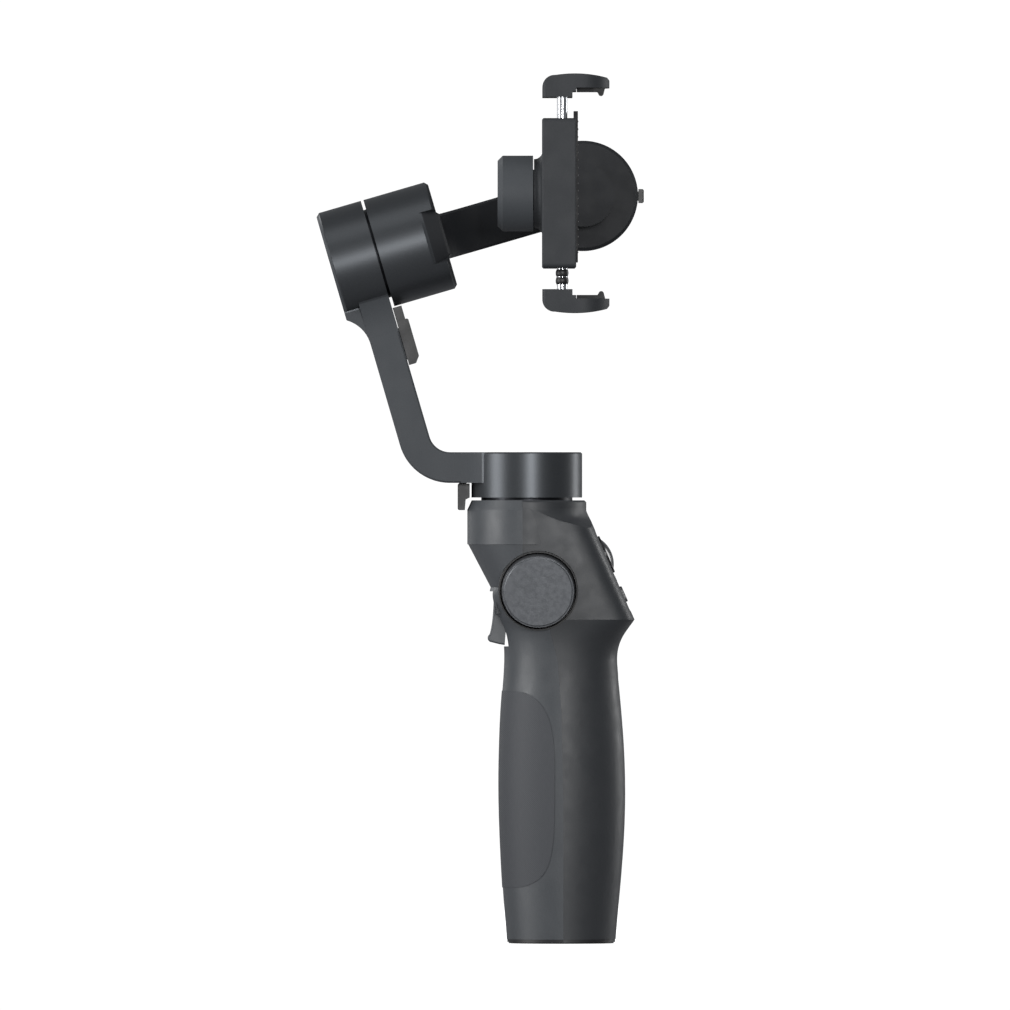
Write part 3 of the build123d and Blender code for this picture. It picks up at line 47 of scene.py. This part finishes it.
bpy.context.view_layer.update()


# ---------------------------------------------------------------- material building blocks
class Surface:
    """One procedural material, with short calls for the nodes it is made of."""

    def __init__(self, name, roughness=0.5, metallic=0.0, **constants):
        self.material = bpy.data.materials.new(name)
        self.material.use_nodes = True
        self.tree = self.material.node_tree
        self.shader = self.tree.nodes["Principled BSDF"]
        self.place = self.tree.nodes.new("ShaderNodeTexCoord").outputs["Object"]
        self.shader.inputs["Roughness"].default_value = roughness
        self.shader.inputs["Metallic"].default_value = metallic
        for socket, value in constants.items():
            self.shader.inputs[socket.replace("_", " ")].default_value = value

    def put(self, socket, value):
        """A link if the value is another node's output, else a constant."""
        if isinstance(value, bpy.types.NodeSocket):
            self.tree.links.new(value, socket)
        else:
            socket.default_value = value

    def node(self, kind, inputs=(), **settings):
        """A new node, with its settings made and its inputs linked or filled in."""
        made = self.tree.nodes.new(kind)
        for name, value in settings.items():
            setattr(made, name, value)
        for slot, value in dict(inputs).items():
            self.put(made.inputs[slot], value)
        return made

    def noise(self, scale, detail=2.0, stretch=None):
        """Cloudy noise, drawn out along an axis if a stretch is given."""
        place = self.place
        if stretch:
            place = self.node("ShaderNodeMapping", {"Vector": place, "Scale": stretch}).outputs["Vector"]
        inputs = {"Vector": place, "Scale": scale, "Detail": detail}
        return self.node("ShaderNodeTexNoise", inputs).outputs["Fac"]

    def drift(self, scale, low, high, detail=2.0):
        """A value that drifts over the surface between two limits."""
        return self.span(self.noise(scale, detail), 0.3, 0.7, low, high)

    def maths(self, operation, first, second=0.0):
        """One sum on one or two numbers."""
        return self.node("ShaderNodeMath", {0: first, 1: second}, operation=operation).outputs[0]

    def span(self, value, low, high, to_low=0.0, to_high=1.0):
        """The value's range stretched to a new range, held at its ends."""
        inputs = {"Value": value, "From Min": low, "From Max": high, "To Min": to_low, "To Max": to_high}
        return self.node("ShaderNodeMapRange", inputs, interpolation_type="SMOOTHSTEP").outputs["Result"]

    def mix(self, share, first, second):
        """Two colours blended, all of the second where the share is one."""
        made = self.tree.nodes.new("ShaderNodeMix")
        made.data_type = "RGBA"
        self.put(made.inputs["Factor"], share)
        for slot, value in (("A", first), ("B", second)):
            socket = [s for s in made.inputs if s.name == slot and s.type == "RGBA"][0]
            self.put(socket, (*value, 1.0) if isinstance(value, tuple) else value)
        return [s for s in made.outputs if s.type == "RGBA"][0]

    def vectors(self, operation, first, second=None):
        """The outputs of one sum on one or two vectors."""
        inputs = {0: first}
        if second is not None:
            inputs[1] = tuple(second)
        return self.node("ShaderNodeVectorMath", inputs, operation=operation).outputs

    def distance(self, point, direction):
        """How far a point of the surface lies from a line."""
        away = self.vectors("SUBTRACT", self.place, point)[0]
        cross = self.vectors("CROSS_PRODUCT", away, direction)[0]
        return self.vectors("LENGTH", cross)["Value"]

    def along(self, point, direction):
        """How far a point of the surface lies past a point, along a direction."""
        away = self.vectors("SUBTRACT", self.place, point)[0]
        return self.vectors("DOT_PRODUCT", away, direction)["Value"]

    def between(self, value, low, high, edge):
        """One inside a range, falling to nothing just outside it."""
        rise = self.span(value, low - edge, low)
        fall = self.span(value, high, high + edge, 1.0, 0.0)
        return self.maths("MULTIPLY", rise, fall)

    def coat(self, colour, roughness, height, depth, strength):
        """Joins the finished colour, roughness and relief to the shader."""
        bump = self.node("ShaderNodeBump", {"Height": height, "Distance": depth, "Strength": strength})
        self.put(self.shader.inputs["Base Color"], colour)
        self.put(self.shader.inputs["Roughness"], roughness)
        self.put(self.shader.inputs["Normal"], bump.outputs["Normal"])
        return self.material


def tint(colour, factor):
    """A colour made darker or lighter."""
    return tuple(min(part * factor, 1.0) for part in colour)


# ---------------------------------------------------------------- materials
SLATE = (0.046, 0.050, 0.055)
# Painted shade: the rear shell is a darker copy of the shell plastic, standing in for the shade on its side turned
# from the key light.
REAR_SHADED_SLATE = (0.021, 0.023, 0.026)
CLAMP_SLATE = (0.027, 0.029, 0.032)
CAN_SLATE = (0.060, 0.064, 0.069)
# Painted shade: a darker copy of the slate paint for the roll arm, the tilt back cap and the tilt bracket's far
# end, which lie in shadow.
SHADE_SLATE = (0.013, 0.014, 0.016)
BLACK = (0.0075, 0.0075, 0.0082)
BUTTON_BLACK = (0.022, 0.023, 0.026)

CAN_RADIUS = 19.3 * MM      # outside wall of each motor can
WALL_BAND = 0.3 * MM        # how near that radius a point counts as can wall
WALL_EDGE = 0.2 * MM        # softness of that band's edge
CAN_ROUGHNESS = 0.36
CAN_METAL = 0.75
PAINT_ROUGHNESS = 0.58
SHADE_FROM = 40 * MM         # past this Y, the tilt bracket is darkened with painted shade for the shadow its far end lies in
SHADE_FADE = 4 * MM          # run-out of the painted shade
RING_PITCH = 0.22 * MM      # turning marks on the dial
STRAND_PITCH = 0.35 * MM    # one wire of a winding
PRINT_EDGE = 0.08 * MM      # softness of a printed mark's edge
FINE = 0.006 * MM           # relief of a polished finish


def mottled(surface, colour, broad=28.0, fine=2600.0, spread=0.10):
    """A colour with faint broad clouding and a fine speckle."""
    cloud = surface.mix(surface.noise(broad), tint(colour, 1 - spread), tint(colour, 1 + spread))
    speck = surface.span(surface.noise(fine, 1.0), 0.35, 0.65)
    return surface.mix(surface.maths("MULTIPLY", speck, 0.35), cloud, tint(colour, 1 + 2 * spread))


def moulded(name, colour, rough, grain=0.35):
    """Satin moulded plastic with a fine spark-eroded grain."""
    surface = Surface(name, Specular_IOR_Level=0.5)
    shade = mottled(surface, colour)
    roughness = surface.drift(160.0, rough - 0.03, rough + 0.05)
    return surface.coat(shade, roughness, surface.noise(5200.0, 3.0), depth=0.010 * MM, strength=grain)


def painted(name, colour=SLATE, cans=(), shade_far_end=False):
    """Satin paint; the turned walls of the motor cans are smoother and catch more light. If asked, the far end
    past a set Y fades into painted shade.
    """
    surface = Surface(name, Specular_IOR_Level=0.22)
    shade = mottled(surface, colour)
    roughness = surface.drift(140.0, PAINT_ROUGHNESS - 0.03, PAINT_ROUGHNESS + 0.04)
    # painted shade: past a set Y the paint fades to the darker slate copy, as if the far end lay in shadow
    if shade_far_end:
        past = surface.along((0, SHADE_FROM, 0), (0, 1, 0))
        shade = surface.mix(surface.span(past, 0.0, SHADE_FADE), shade, mottled(surface, SHADE_SLATE))
    if cans:
        turned = 0.0
        for axis in cans:
            reach = surface.distance(*axis)
            wall = surface.between(reach, CAN_RADIUS - WALL_BAND, CAN_RADIUS + WALL_BAND, WALL_EDGE)
            turned = surface.maths("MAXIMUM", turned, wall)
        shade = surface.mix(turned, shade, mottled(surface, CAN_SLATE))
        blend = {"Factor": turned, "A": roughness, "B": CAN_ROUGHNESS}
        roughness = surface.node("ShaderNodeMix", blend).outputs["Result"]
        metal = surface.maths("MULTIPLY", turned, CAN_METAL)
        surface.put(surface.shader.inputs["Metallic"], metal)
    return surface.coat(shade, roughness, surface.noise(4200.0, 3.0), depth=0.008 * MM, strength=0.3)


def rubber():
    """Matt black rubber with a little dust in its grain."""
    surface = Surface("soft_rubber", Specular_IOR_Level=0.35, Sheen_Weight=0.15, Sheen_Roughness=0.6)
    dust = surface.maths("MULTIPLY", surface.span(surface.noise(95.0, 4.0), 0.45, 0.8), 0.5)
    shade = surface.mix(dust, mottled(surface, BLACK), tint(BLACK, 1.9))
    roughness = surface.drift(240.0, 0.56, 0.70)
    return surface.coat(shade, roughness, surface.noise(3000.0, 3.0), depth=0.020 * MM, strength=0.5)


def pad_rubber():
    """The grip pad: a firm, fine-grained skin with a woven-looking relief."""
    surface = Surface("grip_rubber", Specular_IOR_Level=0.4)
    colour = (0.047, 0.050, 0.056)
    waves = []
    for turn in (1, -1):
        slant = (0, math.radians(45 * turn), 0)
        turned = surface.node("ShaderNodeMapping", {"Vector": surface.place, "Rotation": slant})
        inputs = {"Vector": turned.outputs["Vector"], "Scale": 620.0, "Distortion": 0.0}
        bands = surface.node("ShaderNodeTexWave", inputs, bands_direction="X")
        waves.append(bands.outputs["Fac"])
    weave = surface.maths("MULTIPLY", *waves)
    shade = surface.mix(weave, tint(colour, 0.86), tint(colour, 1.12))
    roughness = surface.span(weave, 0.0, 1.0, 0.60, 0.50)
    return surface.coat(shade, roughness, weave, depth=0.050 * MM, strength=0.35)


def spun(name, colour, axis):
    """Turned metal with fine rings about an axis."""
    surface = Surface(name, metallic=0.6, Specular_IOR_Level=0.5)
    reach = surface.distance(*axis)
    rings = surface.maths("SINE", surface.maths("MULTIPLY", reach, 2 * math.pi / RING_PITCH))
    wander = surface.noise(700.0, 2.0)
    tracks = surface.maths("MULTIPLY", rings, wander)
    shade = surface.mix(surface.span(tracks, -0.6, 0.6), tint(colour, 0.92), tint(colour, 1.1))
    roughness = surface.span(wander, 0.3, 0.7, 0.29, 0.38)
    return surface.coat(shade, roughness, tracks, depth=0.004 * MM, strength=0.35)


def steel():
    """Ground steel with faint lines along its length."""
    surface = Surface("rod_steel", metallic=1.0)
    bright = (0.62, 0.63, 0.65)
    lines = surface.noise(900.0, 3.0, stretch=(1.0, 1.0, 0.06))
    smear = surface.span(surface.noise(180.0, 4.0), 0.4, 0.75)
    shade = surface.mix(smear, tint(bright, 0.9), bright)
    roughness = surface.span(lines, 0.3, 0.7, 0.11, 0.24)
    return surface.coat(shade, roughness, lines, depth=0.003 * MM, strength=0.25)


def turned_metal(name, colour, rough):
    """Plain machined metal, slightly clouded."""
    surface = Surface(name, metallic=1.0)
    cloud = surface.noise(260.0, 4.0)
    shade = surface.mix(cloud, tint(colour, 0.82), colour)
    roughness = surface.span(cloud, 0.3, 0.7, rough - 0.06, rough + 0.08)
    return surface.coat(shade, roughness, surface.noise(2200.0), depth=FINE, strength=0.3)


def windings(axis):
    """Enamelled copper: fine strands stacked along an axis."""
    surface = Surface("winding", metallic=0.85, Specular_IOR_Level=0.5)
    climb = surface.along(*axis)
    strands = surface.maths("SINE", surface.maths("MULTIPLY", climb, 2 * math.pi / STRAND_PITCH))
    copper = (0.62, 0.23, 0.08)
    # Painted shade: the copper darkens to about a third between strands, for the shade in the grooves between
    # wires.
    shade = surface.mix(surface.span(strands, -1, 1), tint(copper, 0.35), copper)
    return surface.coat(shade, surface.drift(800.0, 0.25, 0.42), strands, depth=0.080 * MM, strength=0.7)


def glossy(name, colour, rough, mark=None):
    """Polished plastic under a thin clear coat, plain or with a printed dot or ring."""
    surface = Surface(name, Specular_IOR_Level=0.55, Coat_Weight=0.25, Coat_Roughness=0.12)
    shade = mottled(surface, colour, 60.0, 900.0, 0.08)
    if mark:
        axis, inner, outer, ink = mark
        printed = surface.between(surface.distance(*axis), inner, outer, PRINT_EDGE)
        shade = surface.mix(printed, shade, ink)
    roughness = surface.drift(220.0, rough - 0.05, rough + 0.07, detail=3.0)
    return surface.coat(shade, roughness, surface.noise(1800.0), depth=FINE, strength=0.2)


def board_green():
    """Solder mask over copper tracks."""
    surface = Surface("board", Specular_IOR_Level=0.5, Coat_Weight=0.3, Coat_Roughness=0.2)
    inputs = {"Vector": surface.place, "Scale": 420.0, "Mortar Size": 0.06}
    tracks = surface.node("ShaderNodeTexBrick", inputs).outputs["Fac"]
    shade = surface.mix(tracks, (0.004, 0.055, 0.022), (0.012, 0.11, 0.04))
    return surface.coat(shade, surface.drift(300.0, 0.28, 0.40), tracks, depth=0.030 * MM, strength=0.4)


def lamp():
    """The frosted window of the status light."""
    surface = Surface("lamp_lens", Specular_IOR_Level=0.5, Transmission_Weight=0.2)
    cloud = surface.noise(900.0, 3.0)
    shade = surface.mix(cloud, (0.55, 0.6, 0.63), (0.75, 0.8, 0.82))
    roughness = surface.span(cloud, 0.3, 0.7, 0.3, 0.45)
    return surface.coat(shade, roughness, cloud, depth=0.010 * MM, strength=0.3)


# ---------------------------------------------------------------- axes the finishes follow
def joint_axis(name):
    """A point of a joint's axis, and its direction."""
    return Vector(joints[name]["pos_m"]), Vector(joints[name]["axis"])


pan_axis = joint_axis("pan")
roll_axis = joint_axis("roll")
dial_axis = joint_axis("focus_wheel_turn")

shell_look = moulded("moulded_shell", SLATE, 0.42)
# painted shade: darker copy of the shell plastic for the rear shell
rear_shaded_look = moulded("moulded_rear_shell_shaded", REAR_SHADED_SLATE, 0.46)
arm_look = painted("main_arm_paint", cans=[pan_axis, roll_axis])
# painted shade: the roll arm wears the darker slate copy in place of the shadow it lies in
roll_shaded_look = painted("roll_arm_painted_shade", SHADE_SLATE, cans=[roll_axis])
clamp_look = painted("clamp_paint", CLAMP_SLATE)
mount_look = turned_metal("black_anodised", (0.035, 0.036, 0.04), 0.4)
# painted shade: the tilt bracket and hub cap go dark towards their far end
tilt_paint_and_shade_look = painted("tilt_arm_paint_and_shade", shade_far_end=True)
# painted shade: the tilt back cap wears the darker slate copy in place of the shadow it lies in
shaded_look = painted("painted_shade_paint", SHADE_SLATE)
black_look = moulded("black_plastic", BLACK, 0.45, 0.3)

LOOKS = {
    "shell_satin": shell_look,
    "arm_satin": arm_look,
    "black_plastic": black_look,
    "soft_rubber": rubber(),
    "dial_metal": spun("dial_metal", (0.105, 0.11, 0.118), dial_axis),
    "button_plastic": glossy("button_plastic", BUTTON_BLACK, 0.3),
    "lamp_lens": lamp(),
    "rod_steel": steel(),
    "brass": turned_metal("brass", (0.60, 0.42, 0.16), 0.28),
    "motor_aluminium": turned_metal("motor_aluminium", (0.55, 0.55, 0.57), 0.35),
    "magnet_ring": turned_metal("magnet_ring", (0.5, 0.5, 0.5), 0.22),
    "winding": windings(pan_axis),
    "cell_sleeve": glossy("cell_sleeve", (0.02, 0.10, 0.28), 0.22),
    "board": board_green(),
    "gear_nylon": glossy("gear_nylon", (0.62, 0.60, 0.54), 0.4),
}


def printed_button(node, joint, inner, outer, ink):
    """A button with a ring printed about its middle, or a dot if the inner radius is below zero."""
    low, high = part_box(node)
    middle = (Vector(low) + Vector(high)) / 2
    axis = (middle, joints[joint]["axis"])
    return glossy(f"{node}_print", BUTTON_BLACK, 0.31, (axis, inner, outer, ink))


RED = (0.45, 0.012, 0.010)
PALE = (0.45, 0.46, 0.47)
NODE_LOOKS = {
    "record_button": printed_button("record_button", "record_press", -1.0 * MM, 1.1 * MM, RED),
    "mode_button": printed_button("mode_button", "mode_press", 0.9 * MM, 1.2 * MM, PALE),
    "rear_shell": rear_shaded_look,
    "control_panel": black_look,
    "wheel_seat": black_look,
    "pan_mount": mount_look,
    "roll_mount": mount_look,
    "tilt_mount": mount_look,
    "pan_arm": arm_look,
    "pan_arm_cover": arm_look,
    "roll_back_cap": arm_look,
    "roll_arm": roll_shaded_look,
    "tilt_back_cap": shaded_look,
    "tilt_arm": tilt_paint_and_shade_look,
    "hub_cap": tilt_paint_and_shade_look,
    "clamp_body": clamp_look,
    "clamp_back": clamp_look,
    "upper_jaw": clamp_look,
    "lower_jaw": clamp_look,
    "grip_pad": pad_rubber(),
    "joystick_cap": glossy("stick_gloss", BLACK, 0.2),
    "joystick_bezel": glossy("bezel_gloss", BLACK, 0.24),
}

for part in frame["record"]["subparts"]:
    thing = nodes[part["node"]]
    thing.data.materials.clear()
    thing.data.materials.append(NODE_LOOKS.get(part["node"], LOOKS[part["material_slot"]]))


# ---------------------------------------------------------------- softened edges on the CAD pieces
EDGE_ANGLE = math.radians(32)
EDGE_SOFT = {       # bevel width of each node, in mm
    "front_shell": 0.3,
    "rear_shell": 0.3,
    "grip_pad": 0.12,
    "base_cap": 0.2,
    "pan_arm": 0.35,
    "roll_arm": 0.3,
    "tilt_arm": 0.3,
    "clamp_body": 0.25,
    "upper_jaw": 0.35,
    "lower_jaw": 0.35,
    "upper_jaw_pad": 0.3,
    "lower_jaw_pad": 0.3,
    "clamp_pad": 0.25,
    "trigger_lever": 0.3,
    "pan_lock": 0.25,
    "roll_lock": 0.25,
    "tilt_lock": 0.2,
}

for node_name, width in EDGE_SOFT.items():
    soften = nodes[node_name].modifiers.new("soft_edges", "BEVEL")
    soften.width = width * MM
    soften.segments = 3
    soften.limit_method = "ANGLE"
    soften.angle_limit = EDGE_ANGLE
    soften.harden_normals = True


# ---------------------------------------------------------------- ribs of the rubber lining
RIB_COUNT = 18
RIB_RADIUS = 0.4 * MM
RIB_MARGIN = 3.5 * MM       # bare lining round the ribs
RIB_SUNK = 0.1 * MM         # how far a rib's axis lies under the lining's face
RIB_SIDES = 8


def rib_ring(shape, x, y, z):
    """The corners of one end of a rib, in a ring round (x, z)."""
    ring = []
    for step in range(RIB_SIDES):
        turn = 2 * math.pi * step / RIB_SIDES
        ring.append(shape.verts.new((x + RIB_RADIUS * math.cos(turn), y, z + RIB_RADIUS * math.sin(turn))))
    return ring


def ribs(name, node, body, axis_x):
    """Fine ribs across a lining, in one mesh, with their axes at one X just under its face."""
    low, high = (Vector(corner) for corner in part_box(node))
    mesh = bpy.data.meshes.new(name)
    shape = bmesh.new()
    pitch = (high.z - low.z - 2 * RIB_MARGIN) / (RIB_COUNT - 1)
    for index in range(RIB_COUNT):
        z = low.z + RIB_MARGIN + index * pitch
        near = rib_ring(shape, axis_x, low.y + RIB_MARGIN, z)
        far = rib_ring(shape, axis_x, high.y - RIB_MARGIN, z)
        for step in range(RIB_SIDES):
            after = (step + 1) % RIB_SIDES
            shape.faces.new((near[step], near[after], far[after], far[step]))
        shape.faces.new(list(reversed(near)))
        shape.faces.new(far)
    bmesh.ops.recalc_face_normals(shape, faces=shape.faces)
    shape.to_mesh(mesh)
    shape.free()
    piece = bpy.data.objects.new(name, mesh)
    bpy.context.collection.objects.link(piece)
    rounding = piece.modifiers.new("rounding", "SUBSURF")
    rounding.levels = 1
    rounding.render_levels = 1
    for face in mesh.polygons:
        face.use_smooth = True
    mesh.materials.append(LOOKS["soft_rubber"])
    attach(piece, body)


pad_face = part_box("clamp_pad")[1][0]
ribs("clamp_pad_ribs", "clamp_pad", "clamp", pad_face - RIB_SUNK)


# ---------------------------------------------------------------- studio
FLOOR_R = 0.9
FLOOR_CORNERS = 64
FLOOR_GAP = 0.2 * MM        # the floor lies this far under the foot
FLOOR_GLOW = 0.72
WORLD_LIGHT = 0.22
WORLD_WHITE = 1.05
LIGHT_AIM = Vector((-0.02, 0.0, 0.16))
LIGHTS = [                  # name, azimuth, elevation, distance, width, height, watts
    ("front_strip", 9, 9, 1.7, 0.30, 0.40, 15.0),
    ("left_box", -66, 12, 1.3, 0.6, 1.3, 17.0),
    ("top_box", 10, 66, 1.4, 1.1, 0.8, 4.5),
    ("rear_left", -140, 20, 1.5, 0.7, 1.0, 4.0),
    ("rear_right", 122, 8, 1.5, 0.4, 1.2, 8.0),
]
CAMERA_REACH = 9.0
CAMERA_FIELD = 0.3521       # width of the view at the object
CAMERA_SENSOR = 36.0        # mm
CAMERA_X = -0.0196
CAMERA_Z = 0.1527


def stage_sheet():
    """A round pale floor: grey paper to the object, white to the camera."""
    rim = []
    for step in range(FLOOR_CORNERS):
        turn = 2 * math.pi * step / FLOOR_CORNERS
        rim.append(Vector((math.cos(turn), math.sin(turn), 0)) * FLOOR_R)
    mesh = bpy.data.meshes.new("floor")
    mesh.from_pydata(rim, [], [tuple(range(FLOOR_CORNERS))])
    floor = bpy.data.objects.new("floor", mesh)
    bpy.context.collection.objects.link(floor)
    floor.location.z = -FLOOR_GAP
    surface = Surface("floor_paper", roughness=0.9, Specular_IOR_Level=0.1)
    paper = surface.mix(surface.noise(3.0), (0.93, 0.93, 0.93), (0.95, 0.95, 0.95))
    surface.put(surface.shader.inputs["Base Color"], paper)
    shine = surface.node("ShaderNodeEmission", {"Color": (1, 1, 1, 1), "Strength": FLOOR_GLOW})
    both = surface.node("ShaderNodeAddShader", {0: surface.shader.outputs[0], 1: shine.outputs[0]})
    dim = surface.node("ShaderNodeBsdfDiffuse", {"Color": (0.32, 0.32, 0.33, 1)})
    seen = surface.node("ShaderNodeLightPath").outputs["Is Camera Ray"]
    choice = surface.node("ShaderNodeMixShader", {0: seen, 1: dim.outputs[0], 2: both.outputs[0]})
    surface.tree.links.new(choice.outputs[0], surface.tree.nodes["Material Output"].inputs["Surface"])
    floor.data.materials.append(surface.material)


def studio_world():
    """White to the camera, dim grey to the object, so that its dark finishes keep their shape."""
    world = bpy.data.worlds.new("studio")
    bpy.context.scene.world = world
    world.use_nodes = True
    tree = world.node_tree
    plain = tree.nodes["Background"]
    plain.inputs["Color"].default_value = (0.92, 0.96, 1.0, 1)
    plain.inputs["Strength"].default_value = WORLD_LIGHT
    white = tree.nodes.new("ShaderNodeBackground")
    white.inputs["Color"].default_value = (1, 1, 1, 1)
    white.inputs["Strength"].default_value = WORLD_WHITE
    seen = tree.nodes.new("ShaderNodeLightPath").outputs["Is Camera Ray"]
    choice = tree.nodes.new("ShaderNodeMixShader")
    tree.links.new(seen, choice.inputs[0])
    tree.links.new(plain.outputs[0], choice.inputs[1])
    tree.links.new(white.outputs[0], choice.inputs[2])
    tree.links.new(choice.outputs[0], tree.nodes["World Output"].inputs["Surface"])


def softbox(name, azimuth, elevation, distance, width, height, power):
    """An area light aimed at the middle of the object. Azimuth 0 is the camera's side, 90 is +X."""
    turn = math.radians(azimuth)
    climb = math.radians(elevation)
    level = math.cos(climb)
    back = Vector((math.sin(turn) * level, -math.cos(turn) * level, math.sin(climb)))
    data = bpy.data.lights.new(name, "AREA")
    data.shape = "RECTANGLE"
    data.size = width
    data.size_y = height
    data.energy = power
    lamp_object = bpy.data.objects.new(name, data)
    bpy.context.collection.objects.link(lamp_object)
    lamp_object.location = LIGHT_AIM + back * distance
    lamp_object.rotation_mode = "QUATERNION"
    lamp_object.rotation_quaternion = (-back).to_track_quat("-Z", "Y")
    lamp_object.visible_camera = False


def studio_camera():
    """A long lens, level with the middle of the object, square to its side."""
    data = bpy.data.cameras.new("camera")
    data.sensor_width = CAMERA_SENSOR
    data.lens = CAMERA_SENSOR * CAMERA_REACH / CAMERA_FIELD
    camera = bpy.data.objects.new("camera", data)
    bpy.context.collection.objects.link(camera)
    camera.location = (CAMERA_X, -CAMERA_REACH, CAMERA_Z)
    camera.rotation_euler = (math.radians(90), 0, 0)
    bpy.context.scene.camera = camera


stage_sheet()
studio_world()
for light in LIGHTS:
    softbox(*light)
studio_camera()
bpy.context.scene.view_settings.view_transform = "Standard"
bpy.context.scene.view_settings.look = "None"
